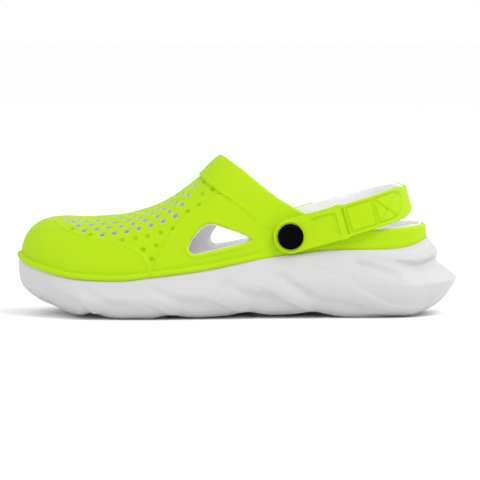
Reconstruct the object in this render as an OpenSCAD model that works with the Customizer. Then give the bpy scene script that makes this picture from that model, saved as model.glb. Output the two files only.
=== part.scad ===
// Two-colour moulded clog: wavy foam sole, vented upper with lining, heel strap turning on two rivets.
// Toe points to -X, heel to +X, the outer side of the foot to -Y, up is +Z. Millimetres.

/* [Upper] */
// Wall of the moulded upper
wall = 3.0; // [2:0.1:5]
// Thickness of the inner lining
lining_t = 1.8; // [1:0.1:3]
// Gap left for glue between bonded pieces
bond = 0.1; // [0.05:0.01:0.2]
// Diameter of the vent holes
vent_d = 4.0; // [2:0.1:5]
// Spacing of the vent holes along a row
vent_pitch = 8.2; // [6:0.1:12]
// Rows of vent holes on each half
vent_rows = 6; // [3:1:6]
// How far the inner side's window sits behind the outer side's
window_shift = 14.5; // [0:0.5:20]
// How far the foxing bead stands out from the wall
bead = 2.6; // [0:0.1:4]

/* [Sole] */
// Thickness of the tread layer
tread_t = 3.0; // [2:0.1:5]
// Depth of the well the footbed drops into
well = 4.0; // [2:0.1:6]
// How far the waves stand out from the side of the sole
wave = 1.3; // [0:0.1:3]

/* [Strap] */
// Height of the pivot above the ground
pivot_z = 56; // [50:0.5:62]
// Distance of the pivot behind the middle of the clog
pivot_x = 35.5; // [30:0.5:42]
// Angle of the strap above level at rest
strap_rise = 16; // [10:0.5:25]
// Thickness of the strap
strap_t = 4.0; // [3:0.1:5]
// Half width of the strap at its round ends
tab_r = 11.7; // [10:0.1:12.5]
// Half width of the strap behind the heel
strap_half = 11.0; // [8:0.1:12]
// Thickness of the strap's lining
pad_t = 1.2; // [0.8:0.1:2]

/* [Rivets] */
// Diameter of the rivet cap
cap_d = 17.4; // [12:0.1:20]
// Thickness of the rivet cap
cap_t = 3.2; // [2:0.1:4]
// Diameter of the rivet post
post_d = 6.0; // [4:0.1:8]
// Running clearance on the radius between post and strap
run_gap = 0.06; // [0.02:0.01:0.1]
// Diameter of the post's inner flange
flange_d = 14; // [10:0.5:18]
// Thickness of the post's inner flange
flange_t = 2.0; // [1:0.1:3]

/* [Hidden] */
$fn = 48;

// width of the ledge the upper is bonded to, around the footbed's well
ledge = 7;
// outline of the upper where it meets the sole, heel round the outer side to the toe and back
knots = [
    [128, 1.4], [124, -15.6], [112, -29.6], [90, -38.9], [60, -40.9], [28, -42.1], [0, -45.1],
    [-30, -50.1], [-60, -52.6], [-88, -51.6], [-112, -44.6], [-132, -30.6], [-144, -11.6], [-147.3, 6.4],
    [-144, 23.4], [-133, 38.4], [-114, 48.4], [-89, 52.9], [-61, 50.9], [-31, 45.6], [0, 41.4],
    [28, 39.6], [60, 40.2], [90, 39.7], [112, 31.9], [124, 18.4]];
toe_at = 13;

// seam between upper and sole
seam_z = [[-148, 38.5], [-142, 35], [-125.5, 30.2], [-109, 27.3], [-92, 26.5], [-76, 26.7],
    [-60, 28.6], [-27, 32.7], [-11, 35.5], [6, 38.9], [22, 41.6], [54, 45.6], [71, 46.6],
    [104, 46.8], [115, 47.9], [122, 50], [128, 52.5]];
// top of the upper along its middle, carried on past the foot opening
crown_z = [[-114, 66.6], [-101, 66], [-89, 66.7], [-77, 67.8], [-67, 70.3], [-55, 74.4],
    [-45, 79.6], [-36, 85.9], [-26.6, 93.3], [-12, 106.8], [4, 112], [30, 113], [96, 113]];
// where on the middle line the wall above each point of the outline runs to
ridge_run = [[-148, -115], [-132, -111], [-110, -101], [-85, -84], [-60, -60], [60, 60],
    [90, 84], [112, 93], [128, 96]];
ridge_y = [[-115, 3.9], [-80, 1.4], [-40, -0.1], [0, -1.1], [40, -1], [96, 0.9]];
fullness = [[-115, 2.3], [-60, 2.3], [-20, 2.2], [96, 2.2]];
// foot opening, seen from the side
mouth = [[-11.5, 108.5], [2.7, 101], [11, 94.5], [20, 87], [29, 80.5], [37.5, 75.5], [47, 70],
    [58, 65.3], [70, 62.2], [82, 60.4], [94, 59.9], [110, 60.8], [121, 61.6], [140, 61.6]];
// side window, seen from the side
window = [[-33.3, 49.2], [-29.7, 44.6], [-14, 47.2], [7.2, 52.4], [8.4, 54.8], [4, 57.6],
    [-12.3, 63.8], [-18.4, 65.2], [-24.4, 62.9], [-30.5, 55.6]];

// ground line of the sole
ground_z = [[-126, 4.8], [-115, 2.9], [-106, 2.1], [-97.5, 3.8], [-89, 1.4], [-78, -0.3],
    [-69, -0.4], [-60, -0.2], [-45, 2.4], [-35, 1.1], [-24, 0.7], [-8, 1.8], [6, 4.0], [17, 2.4],
    [28, 2.0], [40, 2.7], [51, 3.9], [66, 1.0], [82, -0.3], [100, -0.4], [112, -0.1], [120, 0.7],
    [128, 3.2]];
// side of the sole from the ground up: share of the height and stand-out from the outline,
// for the flanks, the heel and the toe
flank = [[0.03, -5.2], [0.08, -2.0], [0.17, 1.4], [0.29, 4.1], [0.41, 5.6], [0.53, 6], [0.66, 5.2],
    [0.78, 4.2], [0.88, 3.4], [0.95, 2.8], [1, 1.6]];
heel = [[0.02, -4], [0.05, 3], [0.14, 10], [0.29, 16.5], [0.39, 19.7], [0.45, 20.7], [0.5, 17.8],
    [0.58, 12.8], [0.68, 7.2], [0.8, 6.8], [0.91, 4.6], [1, 2.2]];
toe = [[0.02, -22], [0.08, -16.5], [0.16, -11], [0.29, -5], [0.41, -0.9], [0.54, 0.9], [0.67, 1.8],
    [0.78, 2.2], [0.88, 2.3], [0.95, 2.2], [1, 1.6]];

// faces of the flat seats the rivets bear on, outside and inside the wall, and their sizes
seat_near = 42.2;
seat_far = 39.9;
seat_back = 3.6;
seat_in = 6.2;
seat_r = 11;
seat_in_r = 8.5;
// washer and running gaps between seat and strap
washer_t = 0.8;
side_gap = 0.1;
tab_near = seat_near + washer_t + 2 * side_gap;
tab_far = seat_far + washer_t + 2 * side_gap;
// middle line of the strap in its own plane: distance from the pivot, and across
strap_path = [[-24, -tab_near - strap_t / 2], [-12, -tab_near - strap_t / 2],
    [0, -tab_near - strap_t / 2], [12, -tab_near - strap_t / 2], [26, -46], [42, -45.3],
    [56, -41.8], [67, -34.6], [76, -22.6], [81.5, -7.6], [81.8, 7.4], [76.6, 22.4], [67.5, 34.2],
    [56, 41.2], [42, 44.5], [26, 44.8], [12, tab_far + strap_t / 2], [0, tab_far + strap_t / 2],
    [-12, tab_far + strap_t / 2], [-24, tab_far + strap_t / 2]];

// smooth curve through [x, y] points
function span(x, p, i = 0) = (i >= len(p) - 2 || x < p[i + 1][0]) ? i : span(x, p, i + 1);
function lean(p, i) =
    let (a = max(i - 1, 0), b = min(i + 1, len(p) - 1)) (p[b][1] - p[a][1]) / (p[b][0] - p[a][0]);
function curve(x, p) =
    let (i = span(x, p), h = p[i + 1][0] - p[i][0], t = min(max((x - p[i][0]) / h, 0), 1))
    p[i][1] * (1 + 2 * t) * pow(1 - t, 2) + lean(p, i) * h * t * pow(1 - t, 2)
    + p[i + 1][1] * t * t * (3 - 2 * t) - lean(p, i + 1) * h * t * t * (1 - t);
function ease(t) = let (u = min(max(t, 0), 1)) u * u * (3 - 2 * u);

// closed curve through points, k steps from each to the next
function arc(a, b, c, d, t) =
    0.5 * (2 * b + (c - a) * t + (2 * a - 5 * b + 4 * c - d) * t * t
    + (3 * b - a - 3 * c + d) * t * t * t);
function loop(p, k) =
    let (n = len(p))
    [for (i = [0 : n - 1], j = [0 : k - 1])
        arc(p[(i + n - 1) % n], p[i], p[(i + 1) % n], p[(i + 2) % n], j / k)];
// open curve through points, leaving out the first and last
function run(p, k) =
    let (n = len(p))
    [for (i = [1 : n - 3], j = [0 : k - 1]) arc(p[i - 1], p[i], p[i + 1], p[i + 2], j / k)];
function outward(p, i) =
    let (n = len(p), d = p[(i + 1) % n] - p[(i + n - 1) % n]) [-d[1], d[0]] / norm(d);

// a closed solid through rings that run from the heel round the outer side and back;
// the first strip can be split along its other diagonals, to lie flat on a strip that faces it
module skin(rings, faced = false) {
    n = len(rings[0]);
    m = len(rings);
    top = (m - 1) * n;
    h = n / 2;
    polyhedron(
        points = [for (r = rings) each r],
        faces = concat(
            [for (j = [0 : m - 2], i = [0 : n - 1])
                let (a = j * n + i, b = j * n + (i + 1) % n)
                each (faced && j == 0) ? [[a, b, a + n], [b, b + n, a + n]]
                    : [[a, b, b + n], [a, b + n, a + n]]],
            [for (i = [1 : h - 2])
                each [[i, n - i - 1, i + 1], [i, n - i, n - i - 1],
                    [top + i, top + i + 1, top + n - i - 1], [top + i, top + n - i - 1, top + n - i]]],
            [[0, n - 1, 1], [h - 1, h + 1, h],
                [top, top + 1, top + n - 1], [top + h - 1, top + h, top + h + 1]]));
}

// point of the dome over outline point p, at angle a up from the seam, moved in by t
function crown_drop(x, t) = t * sqrt(1 + pow((curve(x + 1, crown_z) - curve(x - 1, crown_z)) / 2, 2));
function dome(p, out, a, t) =
    let (q = p - t * out, x = curve(p[0], ridge_run), y = curve(x, ridge_y),
        low = curve(p[0], seam_z) + bond, high = curve(x, crown_z) - crown_drop(x, t),
        e = 2 / curve(x, fullness), f = pow(cos(a), e), g = pow(sin(a), e))
    [x + (q[0] - x) * f, y + (q[1] - y) * f, low + (high - low) * g];
dome_steps = [7, 14, 22, 31, 40, 49, 58, 66, 73, 79, 84, 87.5];
function lip(p, out, d, z) =
    let (q = p + d * out) [q[0], q[1], curve(p[0], seam_z) + bond + z];
function bead_at(x) = 0.3 + (bead - 0.3) * (1 - ease((x - 2) / 26));

// the upper as a full block with its foxing bead, and the space inside it at depth t
module dome_out(k) {
    o = loop(knots, k);
    n = len(o);
    skin(faced = true, concat(
        [[for (i = [0 : n - 1]) lip(o[i], outward(o, i), -ledge, 0)]],
        [for (b = [[0.75, 0], [1, 1.3], [0.95, 2.6], [0.45, 3.9]])
            [for (i = [0 : n - 1]) lip(o[i], outward(o, i), b[0] * bead_at(o[i][0]), b[1])]],
        [for (a = dome_steps) [for (i = [0 : n - 1]) dome(o[i], outward(o, i), a, 0)]]));
}
module dome_in(k, t, first) {
    o = loop(knots, k);
    n = len(o);
    skin(faced = true, concat(
        [[for (i = [0 : n - 1]) lip(o[i], outward(o, i), first[0], first[1])]],
        [[for (i = [0 : n - 1]) lip(o[i], outward(o, i), -t, 0)]],
        [for (a = dome_steps) [for (i = [0 : n - 1]) dome(o[i], outward(o, i), a, t)]]));
}
module room(k, t) { dome_in(k, t, [-t, -3]); }

// prism across the clog from a side outline, between y0 and y1
module across(p, y0, y1) {
    translate([0, y1, 0]) rotate([90, 0, 0]) linear_extrude(y1 - y0) polygon(p);
}
// the opening's rim falls toward the inner side, in front of the heel
function fall(x, y) = 0.08 * (1 - ease((x - 45) / 45)) * (y + 38 * ease((x + 15) / 22));
module mouth_cut(lift) {
    m = len(mouth);
    n = m + 2;
    polyhedron(
        points = [for (y = [-90, 90])
            each concat([for (p = mouth) [p[0], y, p[1] + lift - fall(p[0], y)]],
                [[mouth[m - 1][0], y, 130], [mouth[0][0], y, 130]])],
        faces = concat(
            [for (i = [0 : n - 1])
                let (j = (i + 1) % n) each [[i, j, j + n], [i, j + n, i + n]]],
            [[for (i = [n - 1 : -1 : 0]) i], [for (i = [0 : n - 1]) n + i]]));
}
module window_cut(grow) {
    p = loop(window, 3);
    n = len(p);
    w = [for (i = [0 : n - 1]) p[i] + grow * outward(p, i)];
    across(w, -90, -5);
    translate([window_shift, 0, 0]) across(w, 5, 90);
}

// half widths of the outline, and the height of the vamp over a point
near_half = [for (i = [toe_at : -1 : 0]) [knots[i][0], -knots[i][1]]];
far_half = [for (i = [toe_at : len(knots) - 1]) knots[i]];
function vamp_z(x, y) =
    let (c = curve(x, ridge_y), w = (y < c) ? curve(x, near_half) + c : curve(x, far_half) - c,
        e = curve(x, fullness), low = curve(x, seam_z) + bond)
    low + (curve(x, crown_z) - low) * pow(1 - pow(min(abs(y - c) / w, 0.99), e), 1 / e);
// first and last vent in each row, from the middle row out
vent_front = [-120, -120, -118, -116, -106, -93];
vent_back = [-31, -30, -29, -29, -38, -41];
module vents() {
    for (side = [-1, 1], r = [0 : vent_rows - 1]) {
        y = 1.4 + side * (3.4 + 6.8 * r);
        for (x = [-120 + (r % 2 == 1 ? 3.6 : 7.7) - vent_pitch : vent_pitch : -29])
            if (x >= vent_front[r] && x <= vent_back[r]) {
                z = vamp_z(x, y);
                d = [vamp_z(x - 1, y) - vamp_z(x + 1, y), vamp_z(x, y - 1) - vamp_z(x, y + 1), 2];
                translate([x, y, z])
                    rotate([0, acos(d[2] / norm(d)), atan2(d[1], d[0])])
                        translate([0, 0, -wall - 1.5]) cylinder(h = wall + 4, d = vent_d, $fn = 6);
            }
    }
}

// places a child on the pivot, with its z axis pointing out of the shoe from the seat face
module on_near() { translate([pivot_x, -seat_near, pivot_z]) rotate([90, 0, 0]) children(); }
module on_far() { translate([pivot_x, seat_far, pivot_z]) rotate([-90, 0, 0]) children(); }
module bores(d) {
    on_near() translate([0, 0, -12]) cylinder(h = 14, d = d, $fn = 24);
    on_far() translate([0, 0, -12]) cylinder(h = 14, d = d, $fn = 24);
}

// how far a point of the outline belongs to the heel or the toe, and the tread's edge in from it
function at_heel(x) = ease((x - 84) / 42);
function at_toe(x) = ease((-104 - x) / 43);
function tread_in(x) = 6.2 - 1.4 * at_heel(x) + 17 * at_toe(x);
function ground(x) = max(curve(x, ground_z), 0);

module midsole() color("#e9e9e6") {
    o = loop(knots, 4);
    n = len(o);
    skin(concat(
        [[for (i = [0 : n - 1])
            let (q = o[i] - tread_in(o[i][0]) * outward(o, i))
            [q[0], q[1], ground(q[0]) + tread_t + bond]]],
        [for (j = [0 : len(flank) - 1])
            [for (i = [0 : n - 1])
                let (h = at_heel(o[i][0]), t = at_toe(o[i][0]),
                    s = flank[j] * (1 - h) * (1 - t) + heel[j] * h + toe[j] * t,
                    q = o[i] + s[1] * outward(o, i), low = ground(q[0]),
                    high = curve(o[i][0], seam_z), z = low + (high - low) * s[0],
                    roll = sin(360 * (o[i][0] - 1.5 * z + 56) / 54) * wave
                        * sin(180 * min(max((s[0] - 0.1) / 0.75, 0), 1)) * (1 - t) * (1 - 0.6 * h),
                    r = q + roll * outward(o, i))
                [r[0], r[1], z]]],
        [for (s = [[-ledge, 0], [-ledge - 0.2, -well]])
            [for (i = [0 : n - 1])
                let (q = o[i] + s[0] * outward(o, i)) [q[0], q[1], curve(o[i][0], seam_z) + s[1]]]]));
}

module outsole() color("#f1f1ee") {
    o = loop(knots, 4);
    n = len(o);
    skin([for (s = [[3.3, 0], [1, 0.9], [0, tread_t]])
        [for (i = [0 : n - 1])
            let (q = o[i] - (tread_in(o[i][0]) + s[0]) * outward(o, i))
            [q[0], q[1], ground(q[0]) + s[1]]]]);
}

module footbed() color("#dcdcd8") {
    o = loop(knots, 4);
    n = len(o);
    skin([for (s = [[-7.4, -well + bond], [-7.4, 0.25], [-5.6, 0.35], [-5.6, 1.6], [-9, 1.3],
            [-20, -0.4]])
        [for (i = [0 : n - 1])
            let (q = o[i] + s[0] * outward(o, i)) [q[0], q[1], curve(o[i][0], seam_z) + s[1]]]]);
}

// the flat seats for the rivets, through the wall from depth a to depth b
module seats(a, b, r) {
    on_near() translate([0, 0, -b]) cylinder(h = b - a, r = r, $fn = 36);
    on_far() translate([0, 0, -b]) cylinder(h = b - a, r = r, $fn = 36);
}

module upper_shell() color("#b8e614")
    resize([0, 0, 0])
    difference() {
        union() {
            difference() {
                dome_out(4);
                room(3, wall);
            }
            seats(0, seat_back, seat_r);
        }
        mouth_cut(0);
        window_cut(0);
        vents();
        bores(post_d + 0.3);
    }

module upper_lining() color("#d6d6d6")
    resize([0, 0, 0])
    difference() {
        dome_in(3, wall + bond, [-ledge, 0]);
        difference() {
            room(2, wall + bond + lining_t);
            seats(seat_back, seat_in + flange_t, seat_in_r);
        }
        seats(-5, seat_back + bond, seat_r + bond);
        seats(seat_in, 3 * seat_in, flange_d / 2 + 0.5);
        mouth_cut(0.6);
        window_cut(0.4);
        bores(post_d + 0.3);
    }

// band along the strap's path from stand-in a to stand-in b, half as wide as given
module band(k, first, last, a, b, half) {
    p = run(strap_path, k);
    n = len(p);
    rings = [for (i = [first : n - 1 - last])
        let (g = p[min(i + 1, n - 1)] - p[max(i - 1, 0)], d = g / norm(g), inn = [-d[1], d[0]],
            w = half(p[i][0]),
            c = min(0.9, w * 0.4))
        [for (s = [[a, -w + c], [a + c * 0.8, -w], [b - c * 0.8, -w], [b, -w + c],
                [b, w - c], [b - c * 0.8, w], [a + c * 0.8, w], [a, w - c]])
            [p[i][0] + s[0] * inn[0], p[i][1] + s[0] * inn[1], s[1]]]];
    m = len(rings);
    polyhedron(
        points = [for (r = rings) each r],
        faces = concat(
            [for (j = [0 : m - 2], i = [0 : 7])
                let (q = j * 8 + i, r = j * 8 + (i + 1) % 8) each [[q, r, r + 8], [q, r + 8, q + 8]]],
            [[for (i = [7 : -1 : 0]) i], [for (i = [0 : 7]) (m - 1) * 8 + i]]));
}
function strap_w(s) =
    s < 0 ? sqrt(max(tab_r * tab_r - s * s, 0.2))
    : tab_r + (strap_half - tab_r) * ease((s - 38) / 14);
module strap_frame() {
    translate([pivot_x, 0, pivot_z]) rotate([0, -strap_rise, 0]) children();
}

for_strap = function (s) strap_w(s);
for_pad = function (s) strap_w(s) - 0.6;

module heel_strap() color("#bcea1c")
    difference() {
        strap_frame() band(6, 1, 1, -strap_t / 2, strap_t / 2, for_strap);
        on_near() cylinder(h = 8, d = post_d + 2 * run_gap);
        on_far() cylinder(h = 8, d = post_d + 2 * run_gap);
    }

module strap_lining() color("#e0e0de")
    strap_frame() band(6, 17, 17, strap_t / 2 + bond, strap_t / 2 + bond + pad_t, for_pad);

// rivet pieces drawn with the seat face at z = 0 and the outside at +z
cap_z = washer_t + 3 * side_gap + strap_t;
module cap() color("#0c0c0c")
    translate([0, 0, cap_z])
        rotate_extrude()
            polygon([[post_d / 2 + 0.05, 0], [cap_d / 2 - 0.3, 0], [cap_d / 2, 0.4], [cap_d / 2, 1.5],
                [cap_d / 2 - 1, 2.5], [cap_d / 2 - 2.6, 3], [4, cap_t], [0, cap_t], [0, 2.1],
                [post_d / 2 + 0.05, 2.1]]);
module post() color("#1a1a1a") {
    translate([0, 0, -seat_in - 0.05 - flange_t]) cylinder(h = flange_t, d = flange_d);
    translate([0, 0, -seat_in - 0.05]) cylinder(h = seat_in + 0.05 + cap_z + 2, d = post_d);
}
module washer() color("#202020")
    translate([0, 0, side_gap / 2])
        difference() {
            cylinder(h = washer_t, d = 13);
            translate([0, 0, -1]) cylinder(h = washer_t + 2, d = post_d + 0.2);
        }

module rivet_cap_left() on_near() cap();
module rivet_cap_right() on_far() cap();
module rivet_post_left() on_near() post();
module rivet_post_right() on_far() post();
module rivet_washer_left() on_near() washer();
module rivet_washer_right() on_far() washer();

midsole();
outsole();
footbed();
upper_shell();
upper_lining();
heel_strap();
strap_lining();
rivet_cap_left();
rivet_cap_right();
rivet_post_left();
rivet_post_right();
rivet_washer_left();
rivet_washer_right();
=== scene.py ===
import math

import bpy
import numpy as np
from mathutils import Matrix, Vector


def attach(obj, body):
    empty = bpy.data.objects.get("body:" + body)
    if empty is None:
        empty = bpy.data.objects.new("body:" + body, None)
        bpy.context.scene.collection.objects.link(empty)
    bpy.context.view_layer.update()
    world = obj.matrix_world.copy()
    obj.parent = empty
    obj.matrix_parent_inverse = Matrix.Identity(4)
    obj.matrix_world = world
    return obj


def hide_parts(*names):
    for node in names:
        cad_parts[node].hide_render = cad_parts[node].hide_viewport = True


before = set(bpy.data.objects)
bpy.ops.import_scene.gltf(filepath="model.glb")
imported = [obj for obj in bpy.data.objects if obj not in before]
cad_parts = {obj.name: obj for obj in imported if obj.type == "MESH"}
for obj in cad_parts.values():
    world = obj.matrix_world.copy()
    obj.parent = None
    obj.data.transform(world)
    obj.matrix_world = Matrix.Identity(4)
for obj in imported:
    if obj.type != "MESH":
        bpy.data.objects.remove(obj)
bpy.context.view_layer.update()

# Lengths below are in millimetres, in the CAD frame: toe at -X, heel at +X, outer side at -Y.
MM = 0.001

# ---------------------------------------------------------------- driving shapes, as in the CAD
KNOTS = np.array([
    (128, 1.4), (124, -15.6), (112, -29.6), (90, -38.9), (60, -40.9), (28, -42.1), (0, -45.1),
    (-30, -50.1), (-60, -52.6), (-88, -51.6), (-112, -44.6), (-132, -30.6), (-144, -11.6),
    (-147.3, 6.4), (-144, 23.4), (-133, 38.4), (-114, 48.4), (-89, 52.9), (-61, 50.9),
    (-31, 45.6), (0, 41.4), (28, 39.6), (60, 40.2), (90, 39.7), (112, 31.9), (124, 18.4)], float)
TOE_AT = 13
SEAM = [(-148, 38.5), (-142, 35), (-125.5, 30.2), (-109, 27.3), (-92, 26.5), (-76, 26.7),
        (-60, 28.6), (-27, 32.7), (-11, 35.5), (6, 38.9), (22, 41.6), (54, 45.6), (71, 46.6),
        (104, 46.8), (115, 47.9), (122, 50), (128, 52.5)]
CROWN = [(-114, 66.6), (-101, 66), (-89, 66.7), (-77, 67.8), (-67, 70.3), (-55, 74.4),
         (-45, 79.6), (-36, 85.9), (-26.6, 93.3), (-12, 106.8), (4, 112), (30, 113), (96, 113)]
RIDGE_RUN = [(-148, -115), (-132, -111), (-110, -101), (-85, -84), (-60, -60), (60, 60),
             (90, 84), (112, 93), (128, 96)]
RIDGE_Y = [(-115, 3.9), (-80, 1.4), (-40, -0.1), (0, -1.1), (40, -1), (96, 0.9)]
FULLNESS = [(-115, 2.3), (-60, 2.3), (-20, 2.2), (96, 2.2)]
MOUTH = [(-11.5, 108.5), (2.7, 101), (11, 94.5), (20, 87), (29, 80.5), (37.5, 75.5), (47, 70),
         (58, 65.3), (70, 62.2), (82, 60.4), (94, 59.9), (110, 60.8), (121, 61.6), (140, 61.6)]
WINDOW = [(-33.3, 49.2), (-29.7, 44.6), (-14, 47.2), (7.2, 52.4), (8.4, 54.8), (4, 57.6),
          (-12.3, 63.8), (-18.4, 65.2), (-24.4, 62.9), (-30.5, 55.6)]
WINDOW_SHIFT = 14.5
GROUND = [(-126, 4.8), (-115, 2.9), (-106, 2.1), (-97.5, 3.8), (-89, 1.4), (-78, -0.3),
          (-69, -0.4), (-60, -0.2), (-45, 2.4), (-35, 1.1), (-24, 0.7), (-8, 1.8), (6, 4.0),
          (17, 2.4), (28, 2.0), (40, 2.7), (51, 3.9), (66, 1.0), (82, -0.3), (100, -0.4),
          (112, -0.1), (120, 0.7), (128, 3.2)]
WALL, LINING_T, BOND, BEAD = 3.0, 1.8, 0.1, 2.6
TREAD_T, WELL = 3.0, 4.0
VENT_D, VENT_PITCH, VENT_ROWS, VENT_STEP = 4.7, 8.2, 6, 6.8
VENT_FRONT = [-120, -120, -118, -116, -106, -93]
VENT_BACK = [-31, -30, -29, -29, -38, -41]
VENT_MIDDLE, VENT_STAGGER = 1.4, (7.7, 3.6)
PIVOT_X, PIVOT_Z, STRAP_RISE = 35.5, 56.0, math.radians(16)
SEAT_NEAR, SEAT_FAR, SEAT_R = 42.2, 39.9, 11.0
STRAP_T, TAB_R, STRAP_HALF, PAD_T = 4.0, 11.7, 11.0, 0.9
TAB_GAP, LINING_FROM = 1.0, 24
# steps from one knot of the outline to the next
FINE = 200
# distance given to points that are too far from an edge to be measured
FAR_OFF = 50.0


# ---------------------------------------------------------------- curves and surfaces
def curve(x, points):
    """Smooth curve through points, the same one as the CAD's."""
    p = np.array(points, float)
    x = np.asarray(x, float)
    i = np.clip(np.searchsorted(p[:, 0], x, side="right") - 1, 0, len(p) - 2)
    lo, hi = np.maximum(np.arange(len(p)) - 1, 0), np.minimum(np.arange(len(p)) + 1, len(p) - 1)
    lean = (p[hi, 1] - p[lo, 1]) / (p[hi, 0] - p[lo, 0])
    h = p[i + 1, 0] - p[i, 0]
    t = np.clip((x - p[i, 0]) / h, 0, 1)
    return (p[i, 1] * (1 + 2 * t) * (1 - t) ** 2 + lean[i] * h * t * (1 - t) ** 2
            + p[i + 1, 1] * t * t * (3 - 2 * t) - lean[i + 1] * h * t * t * (1 - t))


def ease(t):
    """Smooth step from 0 at t = 0 to 1 at t = 1."""
    u = np.clip(t, 0, 1)
    return u * u * (3 - 2 * u)


def arcs(p, k, closed=True):
    """Points on a smooth curve through p, k steps from each to the next."""
    p = np.array(p, float)
    n = len(p)
    t = (np.arange(k) / k)[:, None]
    out = []
    for i in range(n) if closed else range(1, n - 2):
        a, b, c, d = p[(i - 1) % n], p[i], p[(i + 1) % n], p[(i + 2) % n]
        out.append(0.5 * (2 * b + (c - a) * t + (2 * a - 5 * b + 4 * c - d) * t * t
                          + (3 * b - a - 3 * c + d) * t ** 3))
    return np.concatenate(out)


def through(points, k):
    """Smooth open curve through points, k steps from each to the next."""
    p = np.array(points, float)
    return arcs(np.concatenate([[2 * p[0] - p[1]], p, [2 * p[-1] - p[-2]]]), k, False)


def half_outlines():
    """The outline as two fine curves: near side from heel to toe, far side from toe to heel."""
    fine = arcs(KNOTS, FINE)
    toe = TOE_AT * FINE
    return fine[: toe + 1], np.concatenate([fine[toe:], fine[:1]])


def stations(spacing):
    """x of the cross lines from heel to toe, spaced along the outline by spacing(x)."""
    near, _ = half_outlines()
    step = np.linalg.norm(np.diff(near, axis=0), axis=1)
    load = np.concatenate([[0], np.cumsum(step / spacing(0.5 * (near[1:, 0] + near[:-1, 0])))])
    count = int(math.ceil(load[-1]))
    return np.interp(np.linspace(0, load[-1], count + 1), load, near[:, 0])


def outline(xs):
    """Closed outline on shared stations, heel to toe and back, and its outward directions."""
    near, far = half_outlines()
    y_near = np.interp(-xs, -near[:, 0], near[:, 1])
    y_far = np.interp(xs, far[:, 0], far[:, 1])
    ring = np.concatenate([np.stack([xs, y_near], 1),
                           np.stack([xs, y_far], 1)[-2:0:-1]])
    way = np.roll(ring, -1, 0) - np.roll(ring, 1, 0)
    out = np.stack([-way[:, 1], way[:, 0]], 1) / np.linalg.norm(way, axis=1)[:, None]
    return ring, out


def dome(ring, angle):
    """Base surface of the upper over the outline, at an angle up from the seam."""
    x = curve(ring[:, 0], RIDGE_RUN)
    y = curve(x, RIDGE_Y)
    low = curve(ring[:, 0], SEAM) + BOND
    high = curve(x, CROWN)
    e = 2 / curve(x, FULLNESS)
    f = np.maximum(math.cos(angle), 0) ** e
    g = math.sin(angle) ** e
    return np.stack([x + (ring[:, 0] - x) * f, y + (ring[:, 1] - y) * f, low + (high - low) * g], 1)


def dome_angles(first, rest):
    """Angles whose rows lie first mm apart near the seam and rest mm apart above it."""
    size, fullness, near_seam = 52, 2.3, 7
    a = np.linspace(0, math.pi / 2, 4000)
    e = 2 / fullness
    y, z = size * np.cos(a) ** e, size * np.sin(a) ** e
    s = np.concatenate([[0], np.cumsum(np.hypot(np.diff(y), np.diff(z)))])
    low = np.arange(0, near_seam, first)
    count = int((s[-1] - near_seam) / rest)
    return np.interp(np.concatenate([low, np.linspace(near_seam, s[-1], count + 1)]), s, a)


# ---------------------------------------------------------------- mesh helpers
def ring_faces(n, m):
    """Quads between m rings of n points."""
    i = np.arange(n)
    j = (i + 1) % n
    quad = np.stack([i, n + i, n + j, j], 1)
    return np.concatenate([quad + r * n for r in range(m - 1)])


def normals(v, f):
    """Smooth normals of a grid of quads or triangles."""
    a, b, c, d = v[f[:, 0]], v[f[:, 1]], v[f[:, 2]], v[f[:, 3]]
    n = np.cross(c - a, d - b)
    out = np.zeros_like(v)
    for k in range(4):
        np.add.at(out, f[:, k], n)
    return out / np.maximum(np.linalg.norm(out, axis=1), 1e-12)[:, None]


def carve(v, f, field):
    """Cuts away where field(v)[0] < 0, moving the nearest points onto the edge so it is smooth."""
    value, way = field(v)
    edges = np.concatenate([f[:, [0, 1]], f[:, [1, 2]], f[:, [2, 3]], f[:, [3, 0]]])
    a, b = edges[:, 0], edges[:, 1]
    cross = value[a] * value[b] < 0
    a, b = a[cross], b[cross]
    pick = np.unique(np.where(np.abs(value[a]) < np.abs(value[b]), a, b))
    v = v.copy()
    v[pick] -= way[pick] * value[pick][:, None]
    value = value.copy()
    value[pick] = 0
    s = np.sign(value)[f]
    keep = (s >= 0).all(1) & (s > 0).any(1)
    mixed = (s > 0).any(1) & (s < 0).any(1)
    extra = []
    for q, t in zip(f[mixed], s[mixed]):
        for k in range(4):
            if t[k] > 0 and t[(k + 1) % 4] >= 0 and t[k - 1] >= 0:
                extra.append([q[k - 1], q[k], q[(k + 1) % 4], q[(k + 1) % 4]])
    f = f[keep]
    if extra:
        f = np.concatenate([f, np.array(extra)])
    return v, f


def compact(v, f, *others):
    """Drops the points that no face uses, and their values in others."""
    used, inverse = np.unique(f, return_inverse=True)
    return (v[used], inverse.reshape(f.shape)) + tuple(o[used] for o in others)


def weld(v, f, gap=1e-4):
    """Joins points that coincide."""
    key = np.round(v / gap).astype(np.int64)
    _, first, inverse = np.unique(key, axis=0, return_index=True, return_inverse=True)
    return v[first], inverse.reshape(-1)[f]


def rim_edges(f):
    """Edges that belong to one face only, in that face's direction."""
    e = np.concatenate([f[:, [0, 1]], f[:, [1, 2]], f[:, [2, 3]], f[:, [3, 0]]])
    e = e[e[:, 0] != e[:, 1]]
    lo, hi = e.min(1), e.max(1)
    key = lo * (int(e.max()) + 1) + hi
    _, first, count = np.unique(key, return_index=True, return_counts=True)
    return e[first[count == 1]]


def shell(outer, inner, f):
    """A wall between two skins that share faces, closed along every free edge."""
    n = len(outer)
    a, b = rim_edges(f).T
    rim = np.stack([b, a, a + n, b + n], 1)
    return np.concatenate([outer, inner]), np.concatenate([f, f[:, ::-1] + n, rim])


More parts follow.
